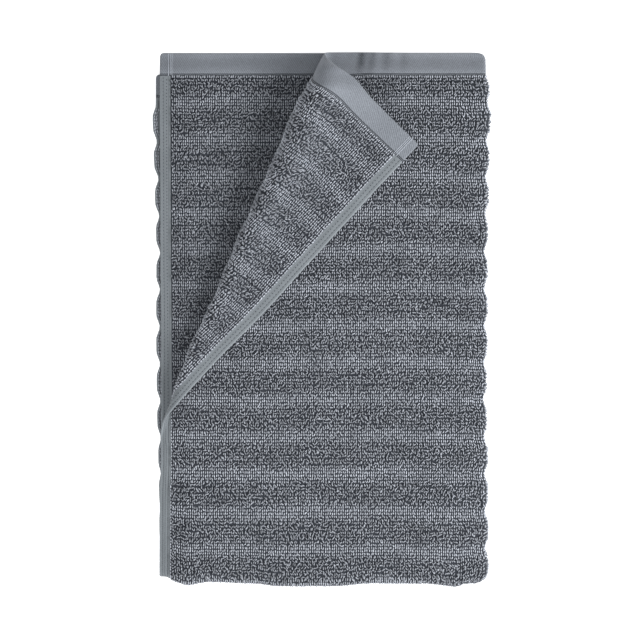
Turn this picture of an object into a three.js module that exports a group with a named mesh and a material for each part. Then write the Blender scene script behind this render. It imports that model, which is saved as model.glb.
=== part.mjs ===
// A folded bath sheet in ribbed terry, as one solid of its real cloth. It is folded in half across its
// width, then in half along its length, and the free corner of the upper layer is turned back in a
// soft roll. Millimetres, +Z up. +Y points at the open ends and +X at the first fold.
import * as THREE from 'three';

// Driving sizes of the cloth. It is named by the distance across it from its left side hem, the
// distance along it from the end that lies on top, and the height above its middle surface.
const WIDTH = 1000;
const LENGTH = 1600;
const SIDE_HEM = 16.5;
const END_BAND = 36;
const HEM_HALF = 1.4;
const BAND_HALF = 1.5;
const VALLEY_HALF = 2.3;
const CREST_HALF = 3.4;
const PILE_RISE = 34;
const RIB_PITCH = 56.8;
const FIRST_RIB = 48.4;
const RIB_FLANK = 1 / 3;
const RIB_FADE = 20;
const CORNER_ROUND = 6;

// The four layers: how far apart their middle surfaces lie, and how soon they part from an edge
const FULL_PITCH = 7.6;
const EDGE_PITCH = 5.2;
const SIDE_SETTLE = 55;
const END_SETTLE = 72;

// The fold across the length, which the lower half follows back a little short. The side hems are
// tight and draw the fold in at their corners.
const LOWER_SHORT = 33;
const FOLD_SHARE = 200;
const HEM_PULL = 7;
const HEM_PULL_FROM = 9;
const HEM_PULL_FADE = 16;
const BEND = Math.PI * FULL_PITCH;
const UPPER_RUN = (LENGTH - BEND + LOWER_SHORT) / 2;
const MIDDLE = UPPER_RUN + BEND / 2;

// The corner turned back on the upper layer: where its crease leaves the side hem, and its slant
const CREASE_START = 568;
const CREASE_SLANT = THREE.MathUtils.degToRad(21.5);
const SIN = Math.sin(CREASE_SLANT);
const COS = Math.cos(CREASE_SLANT);
const FLAP_LIFT = 8.4;
const FLAP_LIFT_FROM = 30;
const FLAP_LIFT_OVER = 60;
const FLAP_EASE = 0.026;
const FLAP_EASE_OVER = 80;
const LANDED_AT = 0.85;
const LEAST_DIP = 0.001;
const MOST_DIP = 1.2;
const PUSH_REACH = 160;

// The roll along the crease: its radius, how far it is pushed over and how far it slides up the
// crease, by the distance along it. Its upper end is pinched flat
const ROLL = [
  { along: -40, radius: 7, push: -1, rise: 0 },
  { along: 63, radius: 7, push: -1, rise: 0 },
  { along: 122, radius: 8, push: -1, rise: 0 },
  { along: 219, radius: 10.5, push: 4, rise: 0 },
  { along: 307, radius: 13, push: 3.4, rise: 0 },
  { along: 372, radius: 16.5, push: 4.4, rise: 0 },
  { along: 455, radius: 21, push: 6, rise: 0 },
  { along: 532, radius: 21.5, push: 6, rise: 0 },
  { along: 562, radius: 26, push: 9.6, rise: 1.8 },
  { along: 590, radius: 20, push: 14.5, rise: 3.5 },
  { along: 615, radius: 7, push: 24.5, rise: 10.5 },
  { along: 640, radius: 6.5, push: 25, rise: 11 },
];

// The sides of the stack, by the distance down from the open ends: how far the fold reaches out, how
// far the hems on the other side do, how far the lower half lies askew, and how much its ribs bulge
const SIDES = [
  { down: 0, fold: 0, hem: 0, askew: 6.3, bulge: 0 },
  { down: 45, fold: 0.6, hem: 0, askew: 6.3, bulge: 4 },
  { down: 90, fold: 3.2, hem: 0, askew: 6.3, bulge: 5 },
  { down: 145, fold: 0.8, hem: -0.3, askew: 5, bulge: 5 },
  { down: 200, fold: -0.3, hem: -0.6, askew: 2.9, bulge: 5.4 },
  { down: 310, fold: -2, hem: -1, askew: 0.8, bulge: 5.6 },
  { down: 420, fold: -2, hem: -2, askew: 2.4, bulge: 5.4 },
  { down: 535, fold: -3.6, hem: -2.5, askew: 2, bulge: 5.2 },
  { down: 620, fold: -1.8, hem: -1.8, askew: 0.3, bulge: 4 },
  { down: 690, fold: -1.4, hem: 0, askew: 0, bulge: 1 },
  { down: 800, fold: -1.4, hem: 0.4, askew: 0, bulge: 0 },
];

// The lower edge of the stack, as uneven as cloth lies: how far it falls short of a straight line
const LOWER_EDGE = [
  { across: 26, short: 4 },
  { across: 40, short: 0.7 },
  { across: 76, short: 6.2 },
  { across: 145, short: 3.7 },
  { across: 184, short: -0.5 },
  { across: 268, short: -0.3 },
  { across: 325, short: 3.9 },
  { across: 405, short: 3.6 },
  { across: 457, short: -1.2 },
  { across: 476, short: 4 },
];

// Buckles in the upper end band beside the roll: where each crest stands, and its height
const BUCKLES = [
  { across: 278, height: 1.5 },
  { across: 300, height: 2.4 },
  { across: 325, height: 2.6 },
  { across: 356, height: 1.8 },
];
const BUCKLE_HALF = 14;
const BUCKLE_FOOT = 11;
const BUCKLE_FADE = 75;

// How the outline gives: corners of the stack, and how far the ribs push out its edges
const END_CORNER = 11;
const FOLD_CORNER = 18;
const FOLD_BULGE = 3.3;
const BULGE_REACH = 60;
const LOWER_EDGE_REACH = 85;
const FLOOR_DROP = 26;
const FLOOR_DROP_LATE = 3;
const LOW_END = 1;

// The stack stands with its middle line over the origin and its open ends at +Y
const CENTRE_ACROSS = 248.2;
const CENTRE_ALONG = 409.8;

// How finely the solid is stepped
const SIDE_STEPS = [32, 180, 320, 450, 480];
const FOLD_TURNS = [-90, -45, 0, 45, 90];
const ROLL_TURNS = [0, 36, 72, 108, 144, 180];
const BEND_STEPS = [-18, -12, -6, -3, 0, 3, 6, 12, 18];
const END_STEPS = [0, 1.8, CORNER_ROUND, 20, END_BAND - 1, END_BAND + 1];
const LEAST_STEP = 5;
const TURN_BEGINS = 30;
const LANDING_STEP = 0.45;
const HALVINGS = 40;

function smooth(x) {
  const c = THREE.MathUtils.clamp(x, 0, 1);
  return c * c * (3 - 2 * c);
}

// The place between two others up to which a test holds
function lastPlace(from, to, test) {
  let low = from;
  let high = to;
  for (let i = 0; i < HALVINGS; i += 1) {
    const middle = (low + high) / 2;
    if (test(middle)) low = middle;
    else high = middle;
  }
  return low;
}

// Reads one column of a table at a place, with soft turns at its rows
function between(table, key, value, place) {
  const last = table.length - 1;
  if (place <= table[0][key]) return table[0][value];
  if (place >= table[last][key]) return table[last][value];
  const i = table.findIndex((row) => row[key] > place);
  const before = table[i - 1];
  const after = table[i];
  const share = smooth((place - before[key]) / (after[key] - before[key]));
  return before[value] + share * (after[value] - before[value]);
}

// 1 on a rib's flat crest, 0 in the middle of the valley beside it
function ribHeight(along) {
  const phase = (along - FIRST_RIB) / RIB_PITCH;
  const off = Math.abs(phase - Math.round(phase));
  return THREE.MathUtils.clamp((1 / 2 - off) / RIB_FLANK, 0, 1);
}

function halfThickness(across, along) {
  const side = Math.min(across, WIDTH - across) - SIDE_HEM;
  const end = Math.min(along, LENGTH - along) - END_BAND;
  if (end <= 0) return BAND_HALF;
  if (side <= 0) return HEM_HALF;
  const grown = Math.sin((Math.PI / 2) * Math.min(1, Math.min(side, end) / PILE_RISE));
  const pile = VALLEY_HALF + (CREST_HALF - VALLEY_HALF) * ribHeight(along);
  return BAND_HALF + (pile - BAND_HALF) * grown;
}

// How far apart the layers lie, by the distance in from the side hems and from the open end
function layerPitch(side, end) {
  const settled = Math.min(smooth(side / SIDE_SETTLE), smooth(end / END_SETTLE));
  return EDGE_PITCH + (FULL_PITCH - EDGE_PITCH) * settled;
}

function askew(down) {
  return between(SIDES, 'down', 'askew', down);
}

// Height of the surface between the lower and upper halves. Past the lower half's end it sinks.
function bedHeight(across, down) {
  const end = Math.max(0, down - LOWER_SHORT);
  const bed = 2 * layerPitch(across + askew(down), end);
  const kept = smooth((down - LOWER_SHORT + FLOOR_DROP_LATE) / FLOOR_DROP + 1);
  return LOW_END + (bed - LOW_END) * kept;
}

// The section of the roll at a place along the crease: a round, then a hollow run down to the flap
function rollSection(along) {
  const radius = between(ROLL, 'along', 'radius', along);
  const push = between(ROLL, 'along', 'push', along);
  const rise = between(ROLL, 'along', 'rise', along);
  const reach = LANDED_AT * Math.max(0, along) * Math.tan(CREASE_SLANT);
  const fallen = smooth((reach / LANDED_AT - FLAP_LIFT_FROM) / FLAP_LIFT_OVER);
  const lift = 2 * radius + (FLAP_LIFT - 2 * radius) * fallen;
  if (fallen === 0) return { radius, push, rise, lift, dip: 0, hollow: 0 };
  const hollow = (dip) => (radius * (1 + Math.cos(dip)) - lift) / (1 - Math.cos(dip));
  const length = (dip) => radius * (Math.PI / 2 + dip) + hollow(dip) * dip;
  const dip = lastPlace(LEAST_DIP, MOST_DIP, (trial) => length(trial) > reach);
  return { radius, push, rise, lift, dip, hollow: hollow(dip) };
}

// A point of the roll's section, by how far it lies past the crease towards the corner
function rollPoint(section, past) {
  const { radius, lift, dip, hollow } = section;
  const start = (Math.PI / 2) * radius;
  const turn = (past + start) / radius;
  if (turn <= 0) return { out: -past, up: 0, normal: [0, 1] };
  if (turn <= Math.PI + dip) {
    return {
      out: start - radius * Math.sin(turn),
      up: radius * (1 - Math.cos(turn)),
      normal: [Math.sin(turn), Math.cos(turn)],
    };
  }
  const topOut = start + radius * Math.sin(dip);
  const run = past + start - radius * (Math.PI + dip);
  const left = hollow > 0 ? dip - run / hollow : 0;
  if (left > 0) {
    return {
      out: topOut + hollow * (Math.sin(dip) - Math.sin(left)),
      up: lift + hollow * (1 - Math.cos(left)),
      normal: [-Math.sin(left), -Math.cos(left)],
    };
  }
  return { out: topOut + hollow * Math.sin(dip) + run - hollow * dip, up: lift, normal: [0, -1] };
}

// The place of a point of the cloth along the crease, and how far past it the point lies
function creasePlace(across, along) {
  const rise = CREASE_START - along;
  return { along: across * SIN + rise * COS, past: rise * SIN - across * COS };
}

// The upper layer, with its corner turned back: where it lies in plan, and its lift above itself flat
function upperLayer(across, along, height) {
  const place = creasePlace(across, along);
  const section = rollSection(place.along);
  const start = (Math.PI / 2) * section.radius;
  const point = rollPoint(section, place.past);
  const gone = smooth((-place.past - start) / PUSH_REACH);
  const eased = 1 + FLAP_EASE * smooth(place.past / FLAP_EASE_OVER);
  const middleOut = start + (point.out - start) * eased + section.push * (1 - gone);
  const out = middleOut + height * point.normal[0];
  const on = place.along * eased + section.rise * (1 - gone);
  return {
    across: on * SIN + out * COS,
    down: CREASE_START - on * COS + out * SIN,
    lift: point.up + height * point.normal[1],
  };
}

function buckle(across, down) {
  const rise = BUCKLES.reduce((sum, fold) => {
    const off = Math.min(1, Math.abs(across - fold.across) / BUCKLE_HALF);
    return sum + fold.height * (0.5 + 0.5 * Math.cos(Math.PI * off));
  }, 0);
  return rise * (1 - smooth(down / BUCKLE_FADE));
}

function cornerInset(radius, distance) {
  const left = THREE.MathUtils.clamp(radius - distance, 0, radius);
  return radius - Math.sqrt(radius * radius - left * left);
}

// Moves a point of the plan as the outline gives: ribs push out, corners draw in, the edges waver
function givenPlan(across, down, along, lower) {
  const rib = ribHeight(along) * smooth((Math.min(along, LENGTH - along) - END_BAND) / RIB_FADE);
  const fold = between(SIDES, 'down', 'fold', down) + FOLD_BULGE * rib;
  const bulge = lower ? between(SIDES, 'down', 'bulge', down) * rib : 0;
  const hem = between(SIDES, 'down', 'hem', down) + bulge;
  const endGap = lower ? down - LOWER_SHORT : down;
  const lowest = UPPER_RUN + 1.5 * FULL_PITCH + CREST_HALF;
  const inset = cornerInset(END_CORNER, endGap) + cornerInset(FOLD_CORNER, lowest - down);
  const atFold = smooth((across - WIDTH / 2 + BULGE_REACH) / BULGE_REACH);
  const atHem = 1 - smooth(across / BULGE_REACH);
  const short = between(LOWER_EDGE, 'across', 'short', across);
  const atEdge = smooth((down - lowest) / LOWER_EDGE_REACH + 1);
  return {
    across: across + (fold - inset) * atFold - hem * atHem,
    down: down - short * atEdge,
  };
}

// Where a point of the cloth lies in the folded sheet
function clothPoint(across, along, height) {
  const upper = along < MIDDLE;
  const side = Math.min(across, WIDTH - across);
  const pitch = layerPitch(side, Math.min(along, LENGTH - along));
  const round = pitch / 2;

  // Across: two flat layers and the round of the first fold
  const wrap = THREE.MathUtils.clamp((across - WIDTH / 2) / round, -Math.PI / 2, Math.PI / 2);
  const flat = Math.abs(wrap) >= Math.PI / 2;
  const foldLine = WIDTH / 2 - (Math.PI / 2) * round;
  const outward = round + height;
  let over = flat ? side : foldLine + outward * Math.cos(wrap);
  const middleRadius = pitch - round * Math.sin(wrap);
  const radius = pitch - outward * Math.sin(wrap);

  // Along: the bend of the second fold, and the runs that share its slack on either side
  const off = along - MIDDLE;
  const reach = (Math.PI / 2) * middleRadius;
  const pull = HEM_PULL * (1 - smooth((side - HEM_PULL_FROM) / HEM_PULL_FADE));
  const axis = UPPER_RUN - pull;
  const run = FOLD_SHARE - BEND / 2 - pull;
  let down;
  let z;
  if (Math.abs(off) < reach) {
    const turn = off / middleRadius;
    down = axis + radius * Math.cos(turn);
    z = 2 * pitch - radius * Math.sin(turn);
  } else {
    const beyond = Math.abs(off) - reach;
    const shared = FOLD_SHARE - reach;
    down = axis - (beyond < shared ? (beyond * run) / shared : run + beyond - shared);
    z = upper ? bedHeight(over, down) + radius : 2 * pitch - radius;
  }

  if (upper && across < WIDTH / 2 && flat && along < CREASE_START + TURN_BEGINS) {
    const turned = upperLayer(across, along, height);
    over = turned.across;
    down = turned.down;
    z = bedHeight(over, down) + 1.5 * layerPitch(over, down) + turned.lift + buckle(over, down);
  }
  if (!upper) over -= askew(down);
  const plan = givenPlan(over, down, along, !upper);
  const ground = FULL_PITCH / 2 - CREST_HALF;
  return [plan.across - CENTRE_ACROSS, CENTRE_ALONG - plan.down, Math.max(0, z - ground)];
}

// Places along the cloth where it is stepped: end bands, three to a rib, and the second fold
function rowPlaces() {
  const places = END_STEPS.flatMap((step) => [step, LENGTH - step]);
  const bendReach = Math.max(...BEND_STEPS) + LEAST_STEP;
  for (let crest = FIRST_RIB; crest < LENGTH; crest += RIB_PITCH) {
    for (const share of [-RIB_FLANK / 2, RIB_FLANK / 2, 1 / 2]) {
      const place = crest + share * RIB_PITCH;
      const inTerry = place > END_BAND + LEAST_STEP / 2 && place < LENGTH - END_BAND - LEAST_STEP;
      if (inTerry && Math.abs(place - MIDDLE) > bendReach) places.push(place);
    }
  }
  places.push(...BEND_STEPS.map((step) => MIDDLE + step));
  return places.sort((a, b) => a - b);
}

// Places across the cloth where the roll's section turns, at one place along the cloth
function rollColumns(along) {
  const turned = (degrees) => (section) => {
    return section.radius * (THREE.MathUtils.degToRad(degrees) - Math.PI / 2);
  };
  const landing = (share) => ({ radius, dip, hollow }) => {
    return radius * (Math.PI / 2 + dip) + hollow * dip * share;
  };
  const stations = [...ROLL_TURNS.map(turned), landing(LANDING_STEP), landing(1)];
  return stations.map((station, i) => {
    const pastStation = (across) => {
      const place = creasePlace(across, along);
      return place.past > station(rollSection(place.along));
    };
    return { name: `roll${i}`, across: lastPlace(0, WIDTH / 2, pastStation) };
  });
}

// A column and its mirror in the layer below
function pairedColumns(kind, places) {
  return places.flatMap((place) => [
    { name: `${kind}${place}`, across: place },
    { name: `${kind}${place}under`, across: WIDTH - place },
  ]);
}

// The columns where one row is stepped, from hem to hem, each named so that rows join like to like
function rowColumns(along) {
  const pitch = layerPitch(WIDTH / 2, Math.min(along, LENGTH - along));
  const columns = pairedColumns('hem', [0, SIDE_HEM]);
  for (const degrees of FOLD_TURNS) {
    const across = WIDTH / 2 + (pitch / 2) * THREE.MathUtils.degToRad(degrees);
    columns.push({ name: `fold${degrees}`, across });
  }
  if (along < CREASE_START + TURN_BEGINS) {
    const gap = LEAST_STEP / 2;
    const clear = ({ across }) => across > gap && Math.abs(across - SIDE_HEM) > gap;
    columns.push(...rollColumns(along).filter(clear));
  }
  if (along < BUCKLE_FADE) {
    const crests = BUCKLES.map((fold) => fold.across);
    const feet = BUCKLES.map((fold) => fold.across + BUCKLE_FOOT);
    columns.push(...[...crests, ...feet].map((place) => ({ name: `buckle${place}`, across: place })));
  }
  const atFold = Math.abs(along - MIDDLE) < LOWER_EDGE_REACH;
  const spare = atFold ? [...LOWER_EDGE.map((row) => row.across), ...SIDE_STEPS] : SIDE_STEPS;
  for (const column of pairedColumns('step', spare)) {
    const near = columns.some((other) => Math.abs(other.across - column.across) < 2 * LEAST_STEP);
    if (!near) columns.push(column);
  }
  return columns.sort((a, b) => a.across - b.across);
}

// One row of the cloth: its points on the middle surface, on the front and on the back
function clothRow(along) {
  const inset = cornerInset(CORNER_ROUND, Math.min(along, LENGTH - along));
  return rowColumns(along).map(({ name, across: place }) => {
    const across = THREE.MathUtils.clamp(place, inset, WIDTH - inset);
    const half = halfThickness(across, along);
    return {
      name,
      middle: clothPoint(across, along, 0),
      front: clothPoint(across, along, half),
      back: clothPoint(across, along, -half),
    };
  });
}

function distance(a, b) {
  return Math.hypot(a[0] - b[0], a[1] - b[1], a[2] - b[2]);
}

// Joins two rows with triangles. Columns of one name meet, and a column that ends is closed to its
// neighbour in the other row.
function joinRows(rowA, rowB) {
  const namesA = new Set(rowA.map((point) => point.name));
  const namesB = new Set(rowB.map((point) => point.name));
  const triangles = [];
  let a = 0;
  let b = 0;
  while (a < rowA.length - 1 || b < rowB.length - 1) {
    const nextA = rowA[a + 1];
    const nextB = rowB[b + 1];
    const across = nextA ? distance(nextA.middle, rowB[b].middle) : Infinity;
    const back = nextB ? distance(rowA[a].middle, nextB.middle) : Infinity;
    const aloneA = Boolean(nextA) && !namesB.has(nextA.name);
    const aloneB = Boolean(nextB) && !namesA.has(nextB.name);
    const meet = nextA && nextB && nextA.name === nextB.name;
    if (aloneA === aloneB ? across <= back : aloneA) {
      triangles.push([rowA[a], rowB[b], nextA]);
      a += 1;
      if (meet) triangles.push([nextA, rowB[b], nextB]);
      b += meet ? 1 : 0;
    } else {
      triangles.push([rowA[a], rowB[b], nextB]);
      b += 1;
      if (meet) triangles.push([rowA[a], nextB, nextA]);
      a += meet ? 1 : 0;
    }
  }
  return triangles;
}

function clothGeometry() {
  const rows = rowPlaces().map(clothRow);
  const positions = [];
  rows.flat().forEach((point, i) => {
    point.frontIndex = 2 * i;
    point.backIndex = 2 * i + 1;
    positions.push(...point.front, ...point.back);
  });
  const faces = [];
  for (let i = 0; i < rows.length - 1; i += 1) {
    for (const [p, q, r] of joinRows(rows[i], rows[i + 1])) {
      faces.push(p.frontIndex, q.frontIndex, r.frontIndex);
      faces.push(r.backIndex, q.backIndex, p.backIndex);
    }
  }
  const rim = [
    ...rows[0].slice().reverse(),
    ...rows.slice(1).map((row) => row[0]),
    ...rows[rows.length - 1].slice(1),
    ...rows.slice(1, -1).map((row) => row[row.length - 1]).reverse(),
  ];
  rim.forEach((point, i) => {
    const next = rim[(i + 1) % rim.length];
    faces.push(point.frontIndex, point.backIndex, next.frontIndex);
    faces.push(next.frontIndex, point.backIndex, next.backIndex);
  });
  const geometry = new THREE.BufferGeometry();
  geometry.setAttribute('position', new THREE.Float32BufferAttribute(positions, 3));
  geometry.setIndex(faces);
  geometry.computeVertexNormals();
  return geometry;
}

const terry = new THREE.MeshStandardMaterial({ color: '#6f7780', roughness: 0.95, metalness: 0 });
const sheet = new THREE.Mesh(clothGeometry(), terry);
sheet.name = 'bath_sheet';

const model = new THREE.Group();
model.add(sheet);
export default model;
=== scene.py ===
# %% [markdown]
# # A folded bath sheet
#
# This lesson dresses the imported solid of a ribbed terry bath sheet. The sheet is folded in half across
# its width, then in half along its length, and the free corner of its top layer is turned back in a
# soft roll. Real terry is a flat ground cloth with thousands of yarn loops standing on both faces, so
# it is built the same way here: one ground cloth on its folds, then real loops, then the sewing.

import bpy
import numpy as np
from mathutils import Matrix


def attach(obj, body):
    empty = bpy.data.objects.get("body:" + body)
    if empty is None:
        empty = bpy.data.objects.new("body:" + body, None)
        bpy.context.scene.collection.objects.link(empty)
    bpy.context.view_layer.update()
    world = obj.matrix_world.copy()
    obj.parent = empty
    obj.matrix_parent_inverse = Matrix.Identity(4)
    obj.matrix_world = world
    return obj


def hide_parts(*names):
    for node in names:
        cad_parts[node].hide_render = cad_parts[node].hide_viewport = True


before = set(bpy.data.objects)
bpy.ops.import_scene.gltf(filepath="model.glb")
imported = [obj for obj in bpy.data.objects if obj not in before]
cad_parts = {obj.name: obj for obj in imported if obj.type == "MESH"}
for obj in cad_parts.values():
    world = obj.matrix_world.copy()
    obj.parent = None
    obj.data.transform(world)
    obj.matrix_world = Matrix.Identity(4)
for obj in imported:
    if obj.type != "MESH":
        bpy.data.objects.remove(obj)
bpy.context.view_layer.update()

# %% [markdown]
# ## Sizes of the cloth
#
# Every place on the cloth is named by three distances in millimetres: across it from its left side
# hem, along it from the end that lies on top, and the height above its middle surface, which is
# positive on the front. The sizes are those of the solid, so that the dressed cloth lies on its folds.

# %% Sizes of the cloth and its folds
MM = 0.001
WIDTH, LENGTH = 1000.0, 1600.0
SIDE_HEM, END_BAND = 16.5, 36.0
RIB_PITCH, FIRST_RIB, RIB_FLANK = 56.8, 48.4, 1 / 3
FULL_PITCH, EDGE_PITCH, SIDE_SETTLE, END_SETTLE = 7.6, 5.2, 55.0, 72.0
LOWER_SHORT, FOLD_SHARE = 33.0, 200.0
HEM_PULL, HEM_PULL_FROM, HEM_PULL_FADE = 7.0, 9.0, 16.0
BEND = np.pi * FULL_PITCH
UPPER_RUN = (LENGTH - BEND + LOWER_SHORT) / 2
MIDDLE = UPPER_RUN + BEND / 2
CREST_TOP = 3.4
RIB_FADE, RIB_SWELL = 20.0, 3.3
END_CORNER, FOLD_CORNER = 11.0, 18.0
SIDES_GIVE_OVER, LOWER_EDGE_GIVES_OVER = 60.0, 85.0
BED_LEVEL, BED_PAST_END, BED_SINKS_OVER = 1.0, 3.0, 26.0
LOWEST = UPPER_RUN + 1.5 * FULL_PITCH + CREST_TOP
CENTRE_ACROSS, CENTRE_ALONG = 248.2, 409.8


def table(names, *rows):
    """Rows of numbers as named columns."""
    return dict(zip(names.split(), np.array(rows, float).T))


ROLL = table(
    "along radius push rise",
    (-40, 7, -1, 0), (63, 7, -1, 0), (122, 8, -1, 0), (219, 10.5, 4, 0), (307, 13, 3.4, 0),
    (372, 16.5, 4.4, 0), (455, 21, 6, 0), (532, 21.5, 6, 0), (562, 26, 9.6, 1.8),
    (590, 20, 14.5, 3.5), (615, 7, 24.5, 10.5), (640, 6.5, 25, 11),
)
SIDES = table(
    "down fold hem askew bulge",
    (0, 0, 0, 6.3, 0), (45, 0.6, 0, 6.3, 4), (90, 3.2, 0, 6.3, 5), (145, 0.8, -0.3, 5, 5),
    (200, -0.3, -0.6, 2.9, 5.4), (310, -2, -1, 0.8, 5.6), (420, -2, -2, 2.4, 5.4),
    (535, -3.6, -2.5, 2, 5.2), (620, -1.8, -1.8, 0.3, 4), (690, -1.4, 0, 0, 1),
    (800, -1.4, 0.4, 0, 0),
)
LOWER_EDGE = table(
    "across short",
    (26, 4), (40, 0.7), (76, 6.2), (145, 3.7), (184, -0.5),
    (268, -0.3), (325, 3.9), (405, 3.6), (457, -1.2), (476, 4),
)
BUCKLES = table("across height", (278, 1.5), (300, 2.4), (325, 2.6), (356, 1.8))
BUCKLE_HALF, BUCKLE_REACH = 14.0, 75.0
print("Ribs along the cloth:", int((LENGTH - 2 * END_BAND) / RIB_PITCH) + 1)

# %% [markdown]
# ## From the flat cloth to the folded one
#
# A cloth could be draped by a simulation, but these folds are known exactly, and loops, hems and
# stitches all have to land on them. So one function takes any point of the flat cloth to its place in
# the folded sheet. It works on whole arrays, and everything that follows is laid out flat and then
# sent through it.

# %% Soft steps, tables and ribs


def smooth(x):
    """A soft step from 0 to 1."""
    held = np.clip(x, 0, 1)
    return held * held * (3 - 2 * held)


def between(rows, key, value, place):
    """One column of a table at any places, with soft turns at its rows."""
    keys, values = rows[key], rows[value]
    i = np.clip(np.searchsorted(keys, place, side="right") - 1, 0, len(keys) - 2)
    share = smooth((place - keys[i]) / (keys[i + 1] - keys[i]))
    return values[i] + share * (values[i + 1] - values[i])


def rib_height(along):
    """1 on a rib's crest and 0 in the valley beside it."""
    phase = (along - FIRST_RIB) / RIB_PITCH
    off = np.abs(phase - np.round(phase))
    return smooth((0.5 - off) / RIB_FLANK)


def from_ends(along):
    return np.minimum(along, LENGTH - along)


def from_sides(across):
    return np.minimum(across, WIDTH - across)


def layer_pitch(side, end):
    """How far apart the layers lie."""
    settled = np.minimum(smooth(side / SIDE_SETTLE), smooth(end / END_SETTLE))
    return EDGE_PITCH + (FULL_PITCH - EDGE_PITCH) * settled


def askew(down):
    return between(SIDES, "down", "askew", down)


def bed_height(across, down):
    """The surface between the upper and lower halves, which sinks past the lower half's end."""
    bed = 2 * layer_pitch(across + askew(down), np.maximum(0, down - LOWER_SHORT))
    kept = smooth((down - LOWER_SHORT + BED_PAST_END) / BED_SINKS_OVER + 1)
    return BED_LEVEL + (bed - BED_LEVEL) * kept


print("Layer pitch in mm at an edge and inside:", EDGE_PITCH, FULL_PITCH)

# %% [markdown]
# ## The turned-back corner
#
# The corner turns on a slanted crease. Its section is a round that grows towards the open end and
# tightens again at the very edge, then a hollow run that lets it down on to the layer below. How far
# the round turns past level is found once for many places along the crease, by halving, and read from
# there.

# %% The roll on its crease
SLANT = np.radians(21.5)
SIN, COS = np.sin(SLANT), np.cos(SLANT)
CREASE_START, FLAP_LIFT, LANDED_AT = 568.0, 8.4, 0.85
FLAP_EASE, FLAP_EASE_OVER, PUSH_REACH, TURN_BEGINS = 0.026, 80.0, 160.0, 30.0
LIFT_FADES_FROM, LIFT_FADES_OVER = 30.0, 60.0
CREASE_FROM, CREASE_TO, CREASE_STEP = -60, 900, 0.5
DIP_LEAST, DIP_MOST, HALVINGS = 0.001, 1.2, 40


def roll_lift(along, radius):
    """How high the turned corner's flat part lies above the crease."""
    fallen = smooth((np.maximum(0, along) * np.tan(SLANT) - LIFT_FADES_FROM) / LIFT_FADES_OVER)
    return 2 * radius + (FLAP_LIFT - 2 * radius) * fallen


def roll_hollow(radius, lift, dip):
    """The radius of the hollow run that lets the round down to its lift."""
    drop = np.maximum(1 - np.cos(dip), 1e-9)
    return np.maximum(0, (radius * (1 + np.cos(dip)) - lift) / drop)


def roll_dips():
    """How far the roll turns past level, by the distance along its crease."""
    along = np.arange(CREASE_FROM, CREASE_TO, CREASE_STEP)
    radius = between(ROLL, "along", "radius", along)
    lift = roll_lift(along, radius)
    reach = LANDED_AT * np.maximum(0, along) * np.tan(SLANT)
    low, high = np.full(along.shape, DIP_LEAST), np.full(along.shape, DIP_MOST)
    for _ in range(HALVINGS):
        dip = (low + high) / 2
        length = radius * (np.pi / 2 + dip) + roll_hollow(radius, lift, dip) * dip
        low, high = np.where(length > reach, dip, low), np.where(length > reach, high, dip)
    return along, np.where(2 * radius - lift > 1e-6, low, 0)


DIP_ALONG, DIP = roll_dips()
print("The roll turns past level by up to", round(float(np.degrees(DIP.max())), 1), "degrees")

# %% The upper layer with its corner turned back


def crease_place(across, along):
    """How far along the crease a point lies, and how far past it."""
    rise = CREASE_START - along
    return across * SIN + rise * COS, rise * SIN - across * COS


def roll_point(past, radius, lift, dip):
    """A point of the roll's section: out from the crease, up, and the way the front faces."""
    start = np.pi / 2 * radius
    turn = (past + start) / radius
    hollow = roll_hollow(radius, lift, dip)
    run = past + start - radius * (np.pi + dip)
    left = np.where(dip > 0, dip - run / np.maximum(hollow, 1e-9), 0)
    top_out = start + radius * np.sin(dip)
    zones = [turn <= 0, turn <= np.pi + dip, left > 0]
    out = np.select(
        zones,
        [-past, start - radius * np.sin(turn), top_out + hollow * (np.sin(dip) - np.sin(left))],
        top_out + hollow * np.sin(dip) + run - hollow * dip,
    )
    up = np.select(
        zones, [0, radius * (1 - np.cos(turn)), lift + hollow * (1 - np.cos(left))], lift
    )
    face_out = np.select(zones, [0, np.sin(turn), -np.sin(left)], 0)
    face_up = np.select(zones, [1, np.cos(turn), -np.cos(left)], -1)
    return out, up, face_out, face_up


def upper_layer(across, along, height):
    """Where the top layer lies in plan, and its lift above itself lying flat."""
    on, past = crease_place(across, along)
    radius = between(ROLL, "along", "radius", on)
    dip = np.interp(on, DIP_ALONG, DIP)
    out, up, face_out, face_up = roll_point(past, radius, roll_lift(on, radius), dip)
    start = np.pi / 2 * radius
    gone = smooth((-past - start) / PUSH_REACH)
    eased = 1 + FLAP_EASE * smooth(past / FLAP_EASE_OVER)
    push, rise = (between(ROLL, "along", name, on) * (1 - gone) for name in ("push", "rise"))
    out = start + (out - start) * eased + push + height * face_out
    on = on * eased + rise
    return on * SIN + out * COS, CREASE_START - on * COS + out * SIN, up + height * face_up


def buckle(across, down):
    """The few soft buckles in the end band beside the roll."""
    off = np.minimum(1, np.abs(np.subtract.outer(across, BUCKLES["across"])) / BUCKLE_HALF)
    rise = ((0.5 + 0.5 * np.cos(np.pi * off)) * BUCKLES["height"]).sum(-1)
    return rise * (1 - smooth(down / BUCKLE_REACH))


probe = upper_layer(np.array([0.0]), np.array([0.0]), np.array([0.0]))
print("The turned corner's tip in mm:", [round(float(v[0]), 1) for v in probe])

# %% [markdown]
# ## The whole mapping
#
# Across the width the cloth goes round the first fold, and along it the doubled cloth goes round the
# second. The outline then gives a little, as the real one does: ribs push out, corners draw in and the
# lower edge wavers.

# %% The folded sheet as one mapping


def corner_inset(radius, distance):
    """How far a round corner draws in, at a distance from the edge that it ends at."""
    left = np.clip(radius - distance, 0, radius)
    return radius - np.sqrt(radius * radius - left * left)


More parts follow.
